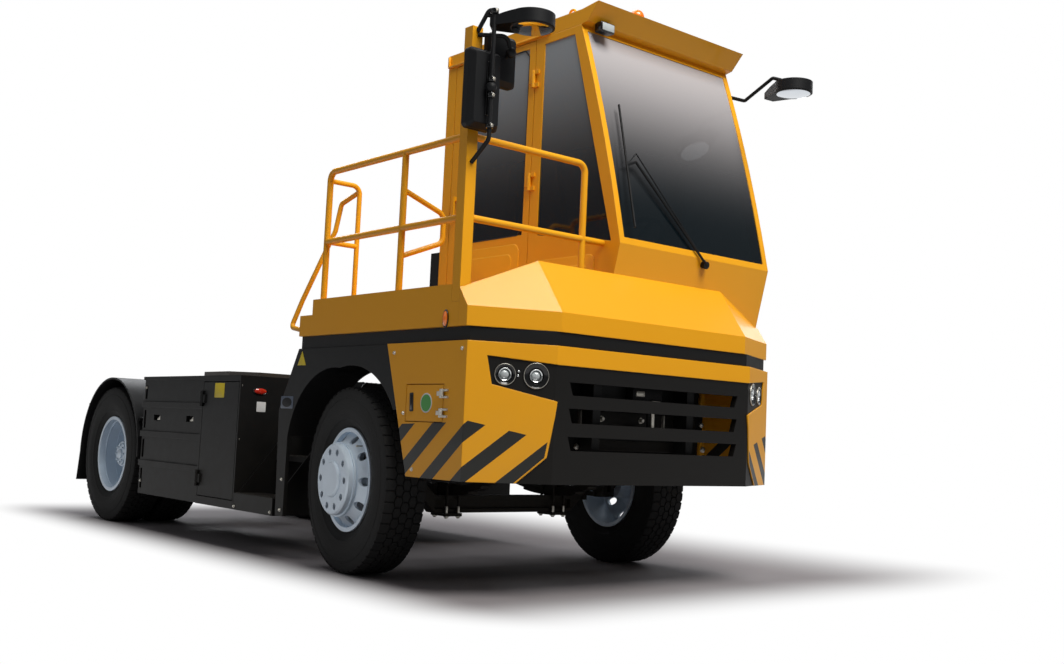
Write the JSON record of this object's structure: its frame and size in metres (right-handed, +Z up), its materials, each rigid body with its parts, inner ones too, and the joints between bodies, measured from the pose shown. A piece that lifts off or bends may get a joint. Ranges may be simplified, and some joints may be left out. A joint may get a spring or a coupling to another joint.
{
  "type": "electric terminal tractor",
  "caption": "Electric terminal tractor: yellow offset cab beside a railed platform, battery boxes, dual rear wheels and a lifting fifth wheel coupling.",
  "frame": {"origin": "on the ground under the middle of the overall length and width", "axes": "+X forward along the rails, +Y to the vehicle's left, +Z up"},
  "size_m": [5.9749, 2.683, 3.721],
  "materials": {
    "yellow_paint": "gloss",
    "black_paint": "satin",
    "tyre": "matt",
    "silver": "satin",
    "dark_steel": "matt",
    "chrome_rod": "polished",
    "glass": "tinted",
    "lamp": "clear lens",
    "black_plastic": "matt",
    "seat_fabric": "woven",
    "amber": "translucent look"
  },
  "bodies": {
    "chassis": {"chassis_frame": "black_paint", "front_axle": "dark_steel", "rear_axle": "dark_steel", "driveline": "dark_steel", "battery_box_left": "black_paint", "battery_box_right": "black_paint", "access_steps": "black_paint", "front_fenders": "black_paint", "rear_fenders": "black_plastic", "bumper": "yellow_paint", "grille": "black_plastic", "headlamps": "lamp", "front_subframe": "black_paint", "hood": "yellow_paint", "platform": "yellow_paint", "corner_post": "yellow_paint", "side_railing": "yellow_paint", "front_railing": "yellow_paint", "cab_shell": "yellow_paint", "cab_roof": "yellow_paint", "windscreen": "glass", "cab_windows": "glass", "seat": "seat_fabric", "driver_console": "black_plastic", "beacon": "amber", "mirrors": "black_plastic", "wiper": "black_plastic", "front_plate": "black_paint", "upper_block": "black_plastic", "tail_lamps": "black_plastic", "rear_case": "yellow_paint"},
    "cab_door": {"cab_door": "yellow_paint", "door_window": "glass"},
    "cabinet_door": {"cabinet_door": "black_paint"},
    "charging_flap": {"charging_flap": "yellow_paint"},
    "knuckle_left": {"steering_knuckle_left": "dark_steel"},
    "knuckle_right": {"steering_knuckle_right": "dark_steel"},
    "tie_rod": {"tie_rod": "dark_steel"},
    "front_wheel_left": {"front_tyre_left": "tyre", "front_rim_left": "silver"},
    "front_wheel_right": {"front_tyre_right": "tyre", "front_rim_right": "silver"},
    "rear_wheels_left": {"rear_tyres_left": "tyre", "rear_rims_left": "silver"},
    "rear_wheels_right": {"rear_tyres_right": "tyre", "rear_rims_right": "silver"},
    "lift_boom": {"lift_boom": "black_paint"},
    "lift_barrels": {"lift_barrels": "black_paint"},
    "lift_rods": {"lift_rods": "chrome_rod"},
    "fifth_wheel": {"fifth_wheel": "dark_steel"}
  },
  "joints": [
    {"name": "steer_left", "type": "hinge", "parent": "chassis", "child": "knuckle_left", "pos_m": [1.5125, 0.9, 0.56], "axis": [0, 0, 1], "range_deg": [-28.5, 41.5]},
    {"name": "steer_right", "type": "hinge", "parent": "chassis", "child": "knuckle_right", "pos_m": [1.5125, -0.9, 0.56], "axis": [0, 0, 1], "range_deg": [-28.5, 41.5]},
    {"name": "tie_rod_pivot", "type": "hinge", "parent": "knuckle_left", "child": "tie_rod", "pos_m": [1.31379, 0.92264, 0.442], "axis": [0, 0, 1], "range_deg": [-41.5, 28.5]},
    {"name": "front_wheel_left_spin", "type": "hinge", "parent": "knuckle_left", "child": "front_wheel_left", "pos_m": [1.53163, 1.06791, 0.56], "axis": [0.1132, 0.9936, 0], "continuous": true},
    {"name": "front_wheel_right_spin", "type": "hinge", "parent": "knuckle_right", "child": "front_wheel_right", "pos_m": [1.49337, -1.06791, 0.56], "axis": [0.1132, 0.9936, 0], "continuous": true},
    {"name": "rear_wheels_left_spin", "type": "hinge", "parent": "chassis", "child": "rear_wheels_left", "pos_m": [-2.2525, 0.915, 0.56], "axis": [0, 1, 0], "continuous": true},
    {"name": "rear_wheels_right_spin", "type": "hinge", "parent": "chassis", "child": "rear_wheels_right", "pos_m": [-2.2525, -0.915, 0.56], "axis": [0, 1, 0], "continuous": true},
    {"name": "cab_door_hinge", "type": "hinge", "parent": "chassis", "child": "cab_door", "pos_m": [1.8775, -0.194, 2.5], "axis": [0, 0, 1], "range_deg": [0, 85]},
    {"name": "cabinet_door_hinge", "type": "hinge", "parent": "chassis", "child": "cabinet_door", "pos_m": [-0.4685, -1.248, 0.738], "axis": [0, 0, -1], "range_deg": [0, 110]},
    {"name": "charging_flap_hinge", "type": "hinge", "parent": "chassis", "child": "charging_flap", "pos_m": [2.515, -1.263, 1.025], "axis": [0, 0, 1], "range_deg": [0, 110]},
    {"name": "lift_hinge", "type": "hinge", "parent": "chassis", "child": "lift_boom", "pos_m": [-0.6375, 0, 0.95], "axis": [0, 1, 0], "range_deg": [0, 15]},
    {"name": "lift_barrel_pivot", "type": "hinge", "parent": "chassis", "child": "lift_barrels", "pos_m": [-1.4875, 0, 0.58], "axis": [0, 1, 0], "range_deg": [0, 11.85]},
    {"name": "lift_rod_slide", "type": "slide", "parent": "lift_barrels", "child": "lift_rods", "axis": [-0.3363, 0, 0.9417], "range_m": [0, 0.2439]},
    {"name": "fifth_wheel_tilt", "type": "hinge", "parent": "lift_boom", "child": "fifth_wheel", "pos_m": [-1.9375, 0, 1.17], "axis": [0, 1, 0], "range_deg": [-10, 10]}
  ],
  "couplings": [
    {"joint": "steer_right", "follows": "steer_left", "ratio": 1},
    {"joint": "tie_rod_pivot", "follows": "steer_left", "ratio": -1},
    {"joint": "lift_barrel_pivot", "follows": "lift_hinge", "ratio": 0.75697},
    {"joint": "lift_rod_slide", "follows": "lift_hinge", "m_per_rad": 0.91628}
  ]
}
